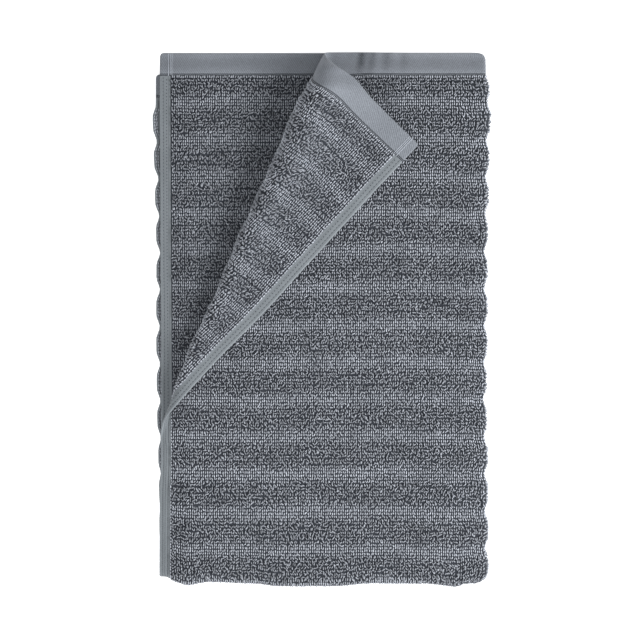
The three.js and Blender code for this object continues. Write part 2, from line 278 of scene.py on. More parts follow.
def given_plan(across, down, along, lower):
    """Moves points of the plan as the outline gives."""
    rib = rib_height(along) * smooth((from_ends(along) - END_BAND) / RIB_FADE)
    fold = between(SIDES, "down", "fold", down) + RIB_SWELL * rib
    hem = between(SIDES, "down", "hem", down) + lower * between(SIDES, "down", "bulge", down) * rib
    end_gap = down - LOWER_SHORT * lower
    inset = corner_inset(END_CORNER, end_gap) + corner_inset(FOLD_CORNER, LOWEST - down)
    at_fold = smooth((across - WIDTH / 2 + SIDES_GIVE_OVER) / SIDES_GIVE_OVER)
    at_hem = 1 - smooth(across / SIDES_GIVE_OVER)
    short = between(LOWER_EDGE, "across", "short", across)
    at_edge = smooth((down - LOWEST) / LOWER_EDGE_GIVES_OVER + 1)
    return across + (fold - inset) * at_fold - hem * at_hem, down - short * at_edge


def cloth_points(across, along, height):
    """Takes points of the flat cloth, in millimetres, to the folded sheet, in metres."""
    across, along, height = np.broadcast_arrays(
        *(np.asarray(v, float) for v in (across, along, height))
    )
    upper = along < MIDDLE
    side = from_sides(across)
    pitch = layer_pitch(side, from_ends(along))
    round_ = pitch / 2
    wrap = np.clip((across - WIDTH / 2) / round_, -np.pi / 2, np.pi / 2)
    flat = np.abs(wrap) >= np.pi / 2
    outward = round_ + height
    over = np.where(flat, side, WIDTH / 2 - np.pi / 2 * round_ + outward * np.cos(wrap))
    middle_radius = pitch - round_ * np.sin(wrap)
    radius = pitch - outward * np.sin(wrap)

    off = along - MIDDLE
    reach = np.pi / 2 * middle_radius
    pull = HEM_PULL * (1 - smooth((side - HEM_PULL_FROM) / HEM_PULL_FADE))
    axis, run = UPPER_RUN - pull, FOLD_SHARE - BEND / 2 - pull
    turn = off / middle_radius
    beyond, shared = np.abs(off) - reach, FOLD_SHARE - reach
    straight = axis - np.where(beyond < shared, beyond * run / shared, run + beyond - shared)
    bent = np.abs(off) < reach
    down = np.where(bent, axis + radius * np.cos(turn), straight)
    flat_z = np.where(upper, bed_height(over, down) + radius, 2 * pitch - radius)
    z = np.where(bent, 2 * pitch - radius * np.sin(turn), flat_z)

    top = upper & (across < WIDTH / 2) & flat & (along < CREASE_START + TURN_BEGINS)
    if top.any():
        o, d, lift = upper_layer(across[top], along[top], height[top])
        over[top], down[top] = o, d
        z[top] = bed_height(o, d) + 1.5 * layer_pitch(o, d) + lift + buckle(o, d)
    over = np.where(upper, over, over - askew(down))
    over, down = given_plan(over, down, along, ~upper)
    ground = FULL_PITCH / 2 - CREST_TOP
    places = (over - CENTRE_ACROSS, CENTRE_ALONG - down, np.maximum(0, z - ground))
    return np.stack(places, -1) * MM


corner = cloth_points([0.0, 1000.0, 500.0], [0.0, 0.0, 800.0], 0.0)
print("Three places of the folded cloth in mm:", np.round(corner * 1000, 1).tolist())

# %% [markdown]
# ## Shader maths
#
# Materials are sums of small patterns, and wiring them node by node is hard to read. A small class
# stands for one output of a node, so that a pattern can be written as an ordinary expression, and one
# method adds any other node.

# %% One output of a node, that Python's signs can reckon with


class Term:
    """An output socket in a material's node tree."""

    def __init__(self, tree, socket):
        self.tree, self.socket = tree, socket

    def node(self, kind, settings=(), inputs=(), out=0):
        """Adds a node of a kind, sets it up, fills its sockets and returns one of its outputs."""
        made = self.tree.nodes.new(kind)
        for name, value in dict(settings).items():
            setattr(made, name, value)
        for name, value in dict(inputs).items():
            if isinstance(value, Term):
                self.tree.links.new(value.socket, made.inputs[name])
            else:
                made.inputs[name].default_value = value
        return Term(self.tree, made.outputs[out])

    def maths(self, operation, first, second=0.0):
        return self.node("ShaderNodeMath", {"operation": operation}, {0: first, 1: second})

    def __add__(self, other):
        return self.maths("ADD", self, other)

    __radd__ = __add__

    def __sub__(self, other):
        return self.maths("SUBTRACT", self, other)

    def __rsub__(self, other):
        return self.maths("SUBTRACT", other, self)

    def __mul__(self, other):
        return self.maths("MULTIPLY", self, other)

    __rmul__ = __mul__

    def sine(self):
        return self.maths("SINE", self)

    def size(self):
        return self.maths("ABSOLUTE", self)

    def step(self, low, high, kind="SMOOTHSTEP"):
        """A step from 0 to 1 as the value goes from low to high, soft or straight."""
        settings = {"interpolation_type": kind}
        return self.node("ShaderNodeMapRange", settings, {0: self, 1: low, 2: high}, 0)

    def mix(self, first, second):
        """A colour between two, by this value."""
        settings = {"data_type": "RGBA"}
        return self.node("ShaderNodeMix", settings, {0: self, 6: first, 7: second}, 2)


print("Terms can be added, subtracted and multiplied")

# %% Start and finish a material


def new_material(name, roughness, sheen):
    """A fabric material, its shader node and a term to start its patterns from."""
    material = bpy.data.materials.new(name)
    material.use_nodes = True
    tree = material.node_tree
    shader = tree.nodes["Principled BSDF"]
    shader.inputs["Roughness"].default_value = roughness
    shader.inputs["Sheen Weight"].default_value = sheen
    shader.inputs["Sheen Roughness"].default_value = 0.5
    shader.inputs["Specular IOR Level"].default_value = 0.25
    return material, shader, Term(tree, None)


def finish_material(shader, term, colour, relief, strength, distance):
    """Gives the shader its colour and its relief."""
    bump = term.node(
        "ShaderNodeBump", (), {"Strength": strength, "Distance": distance, "Height": relief}
    )
    term.tree.links.new(colour.socket, shader.inputs["Base Color"])
    term.tree.links.new(bump.socket, shader.inputs["Normal"])


print("A material is started, patterned and finished")

# %% Noise and tones


def noise_of(term, where, scale, detail=2.0):
    """Soft noise between 0 and 1 on the piece itself."""
    inputs = {"Vector": where, "Scale": scale, "Detail": detail}
    return term.node("ShaderNodeTexNoise", (), inputs, 0)


def tone(red, green, blue):
    """A colour given as it looks on a screen, made linear."""
    screen = np.array([red, green, blue]) / 255
    linear = np.where(screen < 0.04045, screen / 12.92, ((screen + 0.055) / 1.055) ** 2.4)
    return (*(float(v) for v in linear), 1.0)


print("The pile's grey, made linear:", [round(v, 3) for v in tone(111, 119, 128)[:3]])

# %% Sizes of the weave and the sewing
ACROSS_PITCH, ALONG_PITCH = 3.34, 4.7
BAND_SEAMS, HEM_LINES = (32.6, 34.6), (5.2, 12.6)
CORDS, BETWEEN_CORDS = (13.3, 15.9, 18.4), (14.6, 17.1)
print("Loops stand", ACROSS_PITCH, "by", ALONG_PITCH, "mm apart")

# %% [markdown]
# ## The yarn of the pile
#
# A terry loop is matt cotton, and no two loops are dyed quite alike. The loops carry an attribute,
# shade, that holds each loop's random tint together with painted shade and painted highlight: the foot
# of a loop is painted dark, as the shade of its neighbours, and its top is painted light, as if it
# caught the light. A fine twist runs over them as relief.

# %% Material of the loops
loop_material, loop_shader, term = new_material("cotton loops", 0.8, 0.1)
here = term.node("ShaderNodeTexCoord", (), (), "Object")
# The shade attribute holds each loop's random tint and its painted shade: dark feet, light tops, darker
# crests, and darker pieces that lie in shadow.
shade = term.node("ShaderNodeAttribute", {"attribute_name": "shade"}, (), "Fac")
cloud = noise_of(term, here, 24.0, 3.0)
speck = noise_of(term, here, 900.0, 1.0)
level = shade * (0.8 + 0.4 * cloud) * (0.85 + 0.3 * speck)
yarn = level.step(0.0, 1.6, "LINEAR").mix(tone(14, 16, 20), tone(204, 209, 219))
finish_material(loop_shader, term, yarn, noise_of(term, here, 1400.0, 2.0), 0.5, 0.0003)
print("Material:", loop_material.name)

# %% [markdown]
# ## The ground between the loops
#
# The ground of terry is only seen in the gaps between its loops, and its tone is painted dark as the
# shade that falls in those gaps. It is a plain weave, drawn over the cloth's own flat distances, which a
# second UV map holds in metres.

# %% Patterns on the flat cloth


class Flat:
    """The flat distances of the cloth in millimetres, as terms of one material."""

    def __init__(self, term):
        flat = term.node("ShaderNodeUVMap", {"uv_map": "Weave"})
        self.across = flat.node("ShaderNodeSeparateXYZ", (), {0: flat}, "X") * 1000.0
        self.along = flat.node("ShaderNodeSeparateXYZ", (), {0: flat}, "Y") * 1000.0
        self.side = self.across.maths("MINIMUM", self.across, WIDTH - self.across)
        self.end = self.along.maths("MINIMUM", self.along, LENGTH - self.along)


def wave(place, pitch):
    """A wave between 0 and 1 that repeats every pitch."""
    return (place * (2 * np.pi / pitch)).sine() * 0.5 + 0.5


def lines(place, where, half):
    """1 on each of some lines, fading to 0 at half their width."""
    marks = [1 - (place - line).size().step(0.0, half) for line in where]
    return sum(marks[1:], marks[0])


print("Patterns can be drawn on the flat cloth")

# %% Material of the terry ground
ground_material, ground_shader, term = new_material("terry ground in painted shade", 0.95, 0.0)
here = term.node("ShaderNodeTexCoord", (), (), "Object")
flat_place = Flat(term)
weave = wave(flat_place.across, ACROSS_PITCH / 2) * wave(flat_place.along, ALONG_PITCH / 2)
ground_level = 0.35 + 0.35 * weave + 0.3 * noise_of(term, here, 60.0)
# Painted shade: the ground's tones are dark to stand for the shade in the gaps between the loops.
ground_painted_shade = ground_level.step(0.0, 1.0).mix(tone(10, 12, 16), tone(58, 62, 69))
finish_material(ground_shader, term, ground_painted_shade, weave, 0.6, 0.0006)
print("Material:", ground_material.name)

# %% [markdown]
# ## The end bands
#
# The ends of the sheet are flat bands in a fine diagonal twill, a little lighter than the pile because
# nothing stands on them to throw shade. They are sewn down along their inner edge, where two fine
# lines sink into the cloth, and the fine cords beside each side hem run across them.

# %% Material of the end bands
TWILL_SLOPE, TWILL_PITCH, CROSS_SLOPE, CROSS_PITCH = 0.62, 3.3, 1.1, 2.6
DEEP_BUCKLE_SHADE, FAINT_BUCKLE_SHADE = (288, 289, 312), (339, 372)
band_material, band_shader, term = new_material("twill band", 0.8, 0.08)
here = term.node("ShaderNodeTexCoord", (), (), "Object")
flat_place = Flat(term)
twill = wave(flat_place.across + TWILL_SLOPE * flat_place.along, TWILL_PITCH)
cross = wave(flat_place.across - CROSS_SLOPE * flat_place.along, CROSS_PITCH)
weave = twill * 0.7 + cross * 0.3
fleck = noise_of(term, here, 620.0, 2.0)
seams = lines(flat_place.end, BAND_SEAMS, 1.0)
# Painted shade of the soft buckles beside the roll, strongest near the end of the band.
buckle_shade = lines(flat_place.across, DEEP_BUCKLE_SHADE, 13)
buckle_shade = buckle_shade + 0.5 * lines(flat_place.across, FAINT_BUCKLE_SHADE, 11)
buckle_shade = buckle_shade * (1 - flat_place.end.step(14, 40))
cords = lines(flat_place.side, CORDS, 0.75) * (1 - flat_place.end.step(33.0, END_BAND))
between_cords = lines(flat_place.side, BETWEEN_CORDS, 0.7)
band_level = 0.3 * weave + 0.6 * fleck + 0.2 * noise_of(term, here, 18.0) - 0.04
band_level = band_level - 1.0 * seams + 0.5 * cords - 0.25 * between_cords - 0.2 * buckle_shade
band_tone = band_level.step(0.0, 1.0, "LINEAR").mix(tone(50, 54, 59), tone(150, 155, 163))
finish_material(band_shader, term, band_tone, weave - seams, 0.6, 0.0005)
print("Material:", band_material.name)

# %% [markdown]
# ## The side hems
#
# Each side hem is the ground cloth turned in on itself: a plain narrow strip, smooth beside the pile,
# with the fine cords of its weave along it.

# %% Material of the side hems
HEM_WEAVE_ACROSS, HEM_WEAVE_ALONG = 1.65, 1.2
hem_material, hem_shader, term = new_material("side hem", 0.82, 0.06)
here = term.node("ShaderNodeTexCoord", (), (), "Object")
flat_place = Flat(term)
weave = wave(flat_place.across, HEM_WEAVE_ACROSS) * 0.6 + wave(flat_place.along, HEM_WEAVE_ALONG) * 0.4
fleck = noise_of(term, here, 700.0, 2.0)
# A painted highlight along the hem's rounded outer edge.
edge_highlight = lines(flat_place.side, (1.0,), 1.4)
sunk = lines(flat_place.side, HEM_LINES, 0.8)
hem_level = 0.1 + 0.3 * weave + 0.35 * fleck + 0.2 * noise_of(term, here, 22.0)
hem_level = hem_level + 0.2 * edge_highlight - 0.12 * sunk
hem_tone = hem_level.step(0.0, 1.0, "LINEAR").mix(tone(58, 63, 66), tone(144, 150, 155))
finish_material(hem_shader, term, hem_tone, weave - sunk, 0.5, 0.0005)
print("Material:", hem_material.name)

# %% Materials of the sewing thread


def thread_material(name, dark, light):
    """Twisted thread between two tones."""
    made, shader, term = new_material(name, 0.65, 0.1)
    here = term.node("ShaderNodeTexCoord", (), (), "Object")
    ply = noise_of(term, here, 1500.0, 1.0)
    finish_material(shader, term, ply.step(0.2, 0.8).mix(dark, light), ply, 0.4, 0.0002)
    return made


stitch_material = thread_material("sewing thread", tone(30, 34, 38), tone(58, 62, 68))
cord_material = thread_material("fine cord", tone(150, 155, 163), tone(186, 191, 200))
print("Materials:", stitch_material.name, "and", cord_material.name)

# %% [markdown]
# ## The ground cloth
#
# The ground cloth is the woven sheet that the loops stand on. Subdividing a plane would waste faces on
# flat stretches and starve the tight folds, so its rows and columns are placed one by one: close
# together at the hems, in the bands, round both folds and over the roll, and wide apart elsewhere.

# %% Where the cloth is stepped
HEM_STEPS = [0, 0.5, 1.2, 2.4, 4.2, 5.2, 6.0, 7.4, 9.4, 11.0, 12.4, 13.0, 13.8, 15.2, 16.0, 16.5, 17.4]
BAND_STEPS = [0, 0.5, 1.2, 2.4, 5, 9, 14, 19, 24, 29, 32, 33, 34, 34.9, 35.8, 36.6, 38, 41]
ROW_STEP, BEND_REACH, BEND_ROWS = 6.2, 20, 19
PLAIN_COLUMNS, FOLD_COLUMNS, FOLD_FROM, FOLD_TO = 62, 14, 488, 512
ROLL_CROWD, ROLL_CROWD_WIDTH, FOLD_CROWD, FOLD_CROWD_WIDTH, CROWD_PLACES = 2.2, 1.3, 2, 12, 1200
CORNER_ROUND = 6.0


def along_steps():
    """The rows of the cloth, closer together at its ends and round the second fold."""
    bend = MIDDLE + np.linspace(-BEND_REACH, BEND_REACH, BEND_ROWS)
    upper = np.arange(BAND_STEPS[-1] + ROW_STEP, bend[0] - ROW_STEP / 2, ROW_STEP)
    lower = np.arange(bend[-1] + ROW_STEP, LENGTH - BAND_STEPS[-1] - ROW_STEP / 2, ROW_STEP)
    ends = np.array(BAND_STEPS, float)
    return np.concatenate([ends, upper, bend, lower, LENGTH - ends[::-1]])


def across_steps(along):
    """The columns of one row, from hem to hem. They crowd where the roll turns."""
    inset = corner_inset(CORNER_ROUND, from_ends(along))
    hem = np.array(HEM_STEPS, float)
    hem = hem + inset * np.clip(1 - hem / SIDE_HEM, 0, 1)
    fold = np.linspace(FOLD_FROM, FOLD_TO, FOLD_COLUMNS)
    places = np.linspace(HEM_STEPS[-1], fold[0], CROWD_PLACES)
    on, past = crease_place(places, along)
    radius = between(ROLL, "along", "radius", on)
    near = np.exp(-((past / (ROLL_CROWD_WIDTH * radius)) ** 2))
    crowd = 1 + ROLL_CROWD * near * (along < CREASE_START + TURN_BEGINS)
    crowd = crowd + FOLD_CROWD * np.exp(-(((places - fold[0]) / FOLD_CROWD_WIDTH) ** 2))
    filled = np.concatenate([[0], np.cumsum((crowd[1:] + crowd[:-1]) / 2)])
    upper = np.interp(np.linspace(0, filled[-1], PLAIN_COLUMNS), filled, places)[1:-1]
    lower = np.linspace(fold[-1], WIDTH - HEM_STEPS[-1], PLAIN_COLUMNS)[1:-1]
    return np.concatenate([hem, upper, fold, lower, WIDTH - hem[::-1]])


rows = along_steps()
ACROSS = np.array([across_steps(place) for place in rows])
ALONG = np.repeat(rows[:, None], ACROSS.shape[1], axis=1)
print("The ground cloth is", ACROSS.shape[1], "columns by", len(rows), "rows")

# %% [markdown]
# ## How thick the ground cloth is
#
# Its edges are hems: the cloth is turned in and sewn, which leaves a flat strip with a soft outer edge
# and a narrow groove along each row of sewing. The ground of the terry is thinner, because the loops
# take up the rest of the cloth's thickness.

# %% Thickness of the ground cloth
GROUND_HALF, GROUND_SWELL, HEM_HALF, BAND_HALF = 1.15, 0.75, 1.45, 1.5
HEM_FALLS_FROM, EDGE_START, EDGE_ROUND = 16.2, 0.12, 2.2


def groove(place, sewn_lines, width, depth):
    """Narrow grooves along lines of sewing."""
    return sum(depth * np.exp(-(((place - line) / width) ** 2)) for line in sewn_lines)


def ground_half(across, along):
    """Half the thickness of the ground cloth."""
    side, end = from_sides(across), from_ends(along)
    terry = GROUND_HALF + GROUND_SWELL * rib_height(along)
    hem = HEM_HALF - groove(side, HEM_LINES, 0.7, 0.2)
    band = BAND_HALF - groove(end, BAND_SEAMS, 0.6, 0.5) - groove(side, BETWEEN_CORDS, 0.5, 0.3)
    half = hem + (terry - hem) * smooth(side - HEM_FALLS_FROM)
    half = np.where(end < END_BAND, band, half)
    edge = np.minimum(side - corner_inset(CORNER_ROUND, end), end)
    return half * np.sqrt(1 - (1 - np.clip((edge + EDGE_START) / EDGE_ROUND, 0, 1)) ** 2)


thickness = [float(ground_half(np.array(s), np.array(400.0))) for s in (9.0, 300.0)]
print("Half thickness in mm, hem and terry:", [round(v, 2) for v in thickness])

# %% Make a piece from arrays


def new_piece(name, points, faces, materials, corner_uvs, shade=None):
    """A smooth mesh piece, with a UV at each corner and, where given, a shade at each point."""
    mesh = bpy.data.meshes.new(name)
    sides = faces.shape[1]
    mesh.vertices.add(len(points))
    mesh.vertices.foreach_set("co", np.asarray(points, np.float32).ravel())
    mesh.loops.add(faces.size)
    mesh.loops.foreach_set("vertex_index", faces.astype(np.int32).ravel())
    mesh.polygons.add(len(faces))
    mesh.polygons.foreach_set("loop_start", np.arange(0, faces.size, sides, dtype=np.int32))
    mesh.polygons.foreach_set("use_smooth", np.ones(len(faces), bool))
    for layer_name, uv in corner_uvs.items():
        layer = mesh.uv_layers.new(name=layer_name)
        layer.data.foreach_set("uv", np.asarray(uv, np.float32).ravel())
    if shade is not None:
        tones = mesh.attributes.new("shade", "FLOAT", "POINT")
        tones.data.foreach_set("value", np.asarray(shade, np.float32))
    for material in materials:
        mesh.materials.append(material)
    mesh.update(calc_edges=True)
    piece = bpy.data.objects.new(name, mesh)
    bpy.context.scene.collection.objects.link(piece)
    return piece


print("Pieces are made from arrays of points and faces")

# %% [markdown]
# ## Building the ground cloth
#
# The cloth is closed: a front, a back and a narrow rim all round. For baking, its front takes the left
# half of one UV map, its back the right half and its rim a strip at the top. The other UV map holds the
# flat distances that the weave is drawn over.

# %% Build the ground cloth
FACE_ACROSS, FACE_ALONG, BACK_STARTS, RIM_STARTS = 0.49, 0.98, 0.5, 0.99


def ground_faces(row_count, columns):
    """Quads of the front, the back and the rim, over two grids of points."""
    i, j = np.meshgrid(np.arange(row_count - 1), np.arange(columns - 1), indexing="ij")
    a = (i * columns + j).ravel()
    lower = row_count * columns
    front = np.stack([a, a + columns, a + columns + 1, a + 1], -1)
    back = front[:, ::-1] + lower
    top = np.arange(columns - 1)
    left = np.arange(row_count - 1) * columns
    right = left + columns - 1
    bottom = (row_count - 1) * columns + top
    ahead = np.concatenate([top, bottom + 1, left + columns, right])
    behind = np.concatenate([top + 1, bottom, left, right + columns])
    rim = np.stack([ahead, behind, behind + lower, ahead + lower], -1)
    return front, back, rim


front, back, rim = ground_faces(*ACROSS.shape)
faces = np.concatenate([front, back, rim])
heights = [ground_half(ACROSS, ALONG), -ground_half(ACROSS, ALONG)]
points = np.concatenate([cloth_points(ACROSS, ALONG, h).reshape(-1, 3) for h in heights])
flat = np.tile(np.stack([ACROSS.ravel(), ALONG.ravel()], -1), (2, 1))
bake = np.array([FACE_ACROSS / WIDTH, FACE_ALONG / LENGTH]) * flat[faces]
bake[len(front):] += np.array([BACK_STARTS, 0.0])
strip = np.arange(len(rim)) / len(rim)
strips = np.stack([strip, strip + 1 / len(rim)])[[0, 1, 1, 0]].T
strip_rise = np.tile([RIM_STARTS, RIM_STARTS, 1.0, 1.0], (len(rim), 1))
bake[-len(rim):] = np.stack([strips, strip_rise], -1)
sheet = new_piece(
    "bath_sheet_cloth", points, faces, [ground_material, band_material, hem_material],
    {"OFBake": bake, "Weave": flat[faces] * MM},
)
middles = flat[faces].mean(1)
kinds = np.where(from_sides(middles[:, 0]) < SIDE_HEM, 2, 0)
kinds = np.where(from_ends(middles[:, 1]) < END_BAND, 1, kinds)
sheet.data.polygons.foreach_set("material_index", kinds.astype(np.int32))
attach(sheet, "root")
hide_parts("bath_sheet")
print("Ground cloth:", 2 * len(faces), "triangles")

# %% [markdown]
# ## One terry loop
#
# Each loop is a short arch of yarn whose two feet go into the ground. It is repeated tens of thousands
# of times, so it has only a dozen faces: two points for the feet and two rings between them, with no
# floor because the ground hides it.

# %% The loop's own shape
LOOP_SPINE = np.array([-0.5, -0.34, 0.34, 0.5])
RING_SIDE = np.array([-0.5, -0.16, 0.16, 0.5])
RING_RISE = np.array([0.1, 1.0, 1.0, 0.1])


def loop_mould():
    """Points of one loop as shares of its length, width and rise, and its triangles."""
    points = [(LOOP_SPINE[0], 0, 0)]
    for spine in LOOP_SPINE[1:3]:
        points += [(spine, side, rise) for side, rise in zip(RING_SIDE, RING_RISE)]
    points.append((LOOP_SPINE[3], 0, 0))
    triangles = []
    for k in range(3):
        near, far = 1 + k, 5 + k
        triangles += [(0, near, near + 1), (near, far, near + 1), (near + 1, far, far + 1)]
        triangles.append((9, far + 1, far))
    return np.array(points, float), np.array(triangles)


MOULD, MOULD_FACES = loop_mould()
print("A loop has", len(MOULD), "points and", len(MOULD_FACES), "triangles")

# %% [markdown]
# ## Growing the pile
#
# The loops stand in the rows of the weave. In the valleys they are low, close and orderly, and point
# along the cloth. On the crests they are finer, stand higher and fall every way, and their colour is
# made darker as painted shade; rows part in wandering lines where the ground, painted dark as shade,
# shows. Particles could scatter them, but the rows would be lost, so they are laid out on the weave's
# own grid, with seeded scatter that grows towards the crests. The mapping mirrors the flat cloth,
# because along it is towards -Y, so the faces of a loop are turned round where that leaves them pointing
# outwards.

# %% Wandering values over the cloth
SPOTS = 400
PARTINGS = ((-10.0, 11), (0.0, 12), (9.0, 13), (19.0, 14))
PARTING_WANDERS, PARTING_SWAY, PARTING_OPENS, PARTING_REACH = (42, 31), 5, (27, 31), 4


def wander(across, along, size_across, size_along, seed):
    """A smooth value from -1 to 1 that wanders over the cloth with spots of these sizes."""
    spots = np.random.default_rng(seed).uniform(-1, 1, (SPOTS + 1, SPOTS + 1))
    x, y = across / size_across % SPOTS, along / size_along % SPOTS
    i, j = x.astype(int), y.astype(int)
    u, v = smooth(x - i), smooth(y - j)
    near = spots[i, j] * (1 - u) + spots[i + 1, j] * u
    far = spots[i, j + 1] * (1 - u) + spots[i + 1, j + 1] * u
    return near * (1 - v) + far * v


def parted(across, along, amount):
    """Moves loops along the cloth, by an amount, away from the lines where rows part."""
    moved = along
    for line, seed in PARTINGS:
        crest = FIRST_RIB + RIB_PITCH * np.round((along - FIRST_RIB - line) / RIB_PITCH)
        away = along - crest - line - PARTING_SWAY * wander(across, crest, *PARTING_WANDERS, seed)
        opened = np.clip(wander(across, crest, *PARTING_OPENS, seed + 10) * 1.6 + 0.3, 0, 1)
        moved = moved + amount * opened * np.sign(away) * np.exp(-np.abs(away) / PARTING_REACH)
    return moved


print("Wander spans:", round(float(wander(np.arange(500.0), np.zeros(500), 30, 30, 1).max()), 2))

# %% [markdown]
# ## From calm valleys to rough crests
#
# Each habit of a loop is a pair: its value where the pile is calm, and how much it grows to where the
# pile is rough. One roughness for each loop, from 0 to 1, then drives them all together, and it fades
# beside the hems and the bands, where the weaver's edge keeps the loops in line.

# %% Habits of the loops
ACROSS_SCATTER, ALONG_SCATTER, TURN_SCATTER = (0.18, 0.35), (0.3, 0.4), (0.14, 0.38)
LOOP_LENGTH, LOOP_WIDTH, LOOP_RISE, LOOP_LEAN = (4.25, 0.25), (2.15, -0.35), (1.55, 1.5), (0.2, 0.4)
LENGTH_SCATTER, WIDTH_SCATTER, RISE_SCATTER, DYE_SCATTER = 0.35, 0.15, 0.2, 0.14
LOOP_FOOT, LOOP_FOOT_ON_RIB = 0.65, 0.75
RISE_SHARES = (0.55, 1.1)
SWIRL, ROUGH_PAINTED_SHADE, ROUGH_MEAN = 0.7, 0.36, 0.45
RIB_WAVERS, PATCHES, WIDE_SWIRLS, FINE_SWIRLS = (60, 400, 5), (24, 14, 6), (8.5, 8.5, 7), (4.5, 4.5, 8)
VALLEY_ROUGH, LEAST_ROUGH, EDGE_ROUGHNESS = 0.06, 0.07, 0.08


def habit(pair, rough):
    """A value that grows from the calm pile to the rough."""
    return pair[0] + pair[1] * rough


def roughness(across, along, calm):
    """How rough the pile is: most on the crests, least in the valleys and near the edges."""
    wavered = along + 4 * wander(across, along, *RIB_WAVERS)
    rough = VALLEY_ROUGH + (1 - VALLEY_ROUGH) * rib_height(wavered)
    rough = np.clip(rough + 0.24 * wander(across, along, *PATCHES), LEAST_ROUGH, 1)
    from_edge = np.minimum(from_ends(along) - END_BAND, from_sides(across) - SIDE_HEM)
    return rough * smooth(from_edge / calm) + EDGE_ROUGHNESS


rib_rough = [roughness(np.array([250.0]), np.array([along]), 2.5)[0] for along in (729.0, 757.0)]
print("Roughness near a crest and near a valley:", np.round(rib_rough, 2).tolist())

# %% Lay loops on the flat cloth


def laid_loops(across, along, rough, random, coarse, opened):
    """The points of many loops on the flat cloth: across it, along it and above it."""
    count = len(across)
    scatter = random.normal(0, 1, (5, count))
    centre_across = across + habit(ACROSS_SCATTER, rough) * scatter[0]
    centre_along = parted(across, along, opened * rough) + habit(ALONG_SCATTER, rough) * scatter[1]
    swirl = wander(across, along, *WIDE_SWIRLS) + 0.6 * wander(across, along, *FINE_SWIRLS)
    angle = np.pi / 2 + habit(TURN_SCATTER, rough) * scatter[2] + SWIRL * rough * swirl
    length = coarse * (habit(LOOP_LENGTH, rough) + LENGTH_SCATTER * scatter[3])
    width = coarse * (habit(LOOP_WIDTH, rough) + WIDTH_SCATTER * scatter[4])
    lean = random.normal(0, 1, (2, count)) * habit(LOOP_LEAN, rough)
    base = LOOP_FOOT + LOOP_FOOT_ON_RIB * rib_height(along)
    rise = LOOP_RISE[0] + LOOP_RISE[1] * rough * random.uniform(*RISE_SHARES, count)
    rise = rise + RISE_SCATTER * scatter[3]
    spine = MOULD[:, 0] * length[:, None]
    bow = (0.25 - MOULD[:, 0] ** 2) * (rough * scatter[4])[:, None]
    side = MOULD[:, 1] * width[:, None] + bow
    up = MOULD[:, 2]
    cos, sin = np.cos(angle)[:, None], np.sin(angle)[:, None]
    s = centre_across[:, None] + spine * cos - side * sin + lean[0][:, None] * up
    t = centre_along[:, None] + spine * sin + side * cos + lean[1][:, None] * up
    return np.clip(s, 1.0, WIDTH - 1.0), t, base[:, None] + rise[:, None] * up


print("A calm loop is", LOOP_LENGTH[0], "by", LOOP_WIDTH[0], "mm and stands", LOOP_RISE[0], "mm high")

# %% Make one piece of pile


def grow(name, face, across_span, along_span, seed, keep=None, coarse=1.0, **look):
    """One piece of pile: loops on a stretch of the cloth's front (1) or back (-1).

    Its look is how far from an edge it stays calm, how far its rows part, how light its loops are, which
    is set lower as painted shade on pieces that lie in shadow, and how deep the painted shade is at the
    foot of its loops.
    """
    calm, opened = look.get("calm", 2.5), look.get("opened", 0.9)
    dye, depth = look.get("dye", 1.03), look.get("depth", 0.8)
    random = np.random.default_rng(seed)
    across, along = np.meshgrid(
        np.arange(*across_span, ACROSS_PITCH * coarse), np.arange(*along_span, ALONG_PITCH * coarse)
    )
    across, along = across.ravel(), along.ravel()
    if keep is not None:
        kept = keep(across, along)
        across, along = across[kept], along[kept]
    count = len(across)
    rough = roughness(across, along, calm)
    s, t, h = laid_loops(across, along, rough, random, coarse, opened)
    points = cloth_points(s, t, h * face).reshape(-1, 3)
    faces = (MOULD_FACES[None] + (np.arange(count) * len(MOULD))[:, None, None]).reshape(-1, 3)
    if face > 0:
        faces = faces[:, ::-1]
    # Painted shade: loops on rough crests are made darker, standing in for the deeper shade among them.
    tint_and_crest_shade = 1 + random.normal(0, DYE_SCATTER, count) - ROUGH_PAINTED_SHADE * (rough - ROUGH_MEAN)
    # Painted shade and highlight: depth darkens each loop towards its foot and leaves its top light.
    shade = (dye * tint_and_crest_shade[:, None] * (1 - depth * (1 - MOULD[:, 2]))).ravel()
    spans = np.array([np.ptp(s), np.ptp(t)])
    uv = np.stack([(s - s.min()) / spans[0], (t - t.min()) / spans[1]], -1).reshape(-1, 2)
    piece = new_piece(name, points, faces, [loop_material], {"OFBake": uv[faces.ravel()]}, shade)
    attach(piece, "root")
    print(name, count, "loops,", len(faces), "triangles")
    return piece


print("Pile is grown a piece at a time, in rows", ACROSS_PITCH, "mm apart")

# %% Which loops can be seen
INSIDE_ROLL, ROLL_OPENS_AT = 2.4, 260
UNDER_ROLL, UNDER_CORNER, UNDER_TOP = 1.6, 14, 34
RIB_SHOWS = 0.35


def past_roll(across, along):
    """How far past the crease a place lies, and the radius of the roll there."""
    on, past = crease_place(across, along)
    return past, between(ROLL, "along", "radius", on)


def lies_flat(across, along):
    """Loops of the top layer's front, short of the roll or inside its open end."""
    past, radius = past_roll(across, along)
    inside = (past < INSIDE_ROLL * radius) & (along < ROLL_OPENS_AT)
    return (past < 0) | inside


def turned_back(across, along):
    """Loops of the top layer's back, from under the roll to the turned corner."""
    past, radius = past_roll(across, along)
    return (past > -UNDER_ROLL * radius - UNDER_CORNER) & (along < CREASE_START + TURN_BEGINS)


def uncovered(across, along):
    """Loops of the layer below, where the corner has been lifted off it."""
    past, radius = past_roll(WIDTH - across, along)
    return past > -UNDER_ROLL * radius - UNDER_TOP


def on_rib(across, along):
    """Loops at the edge of the lower half, which peep out past the upper half where a rib swells."""
    return rib_height(along) > RIB_SHOWS


print("Radius of the roll half way along it in mm:", round(float(past_roll(150.0, 300.0)[1]), 1))

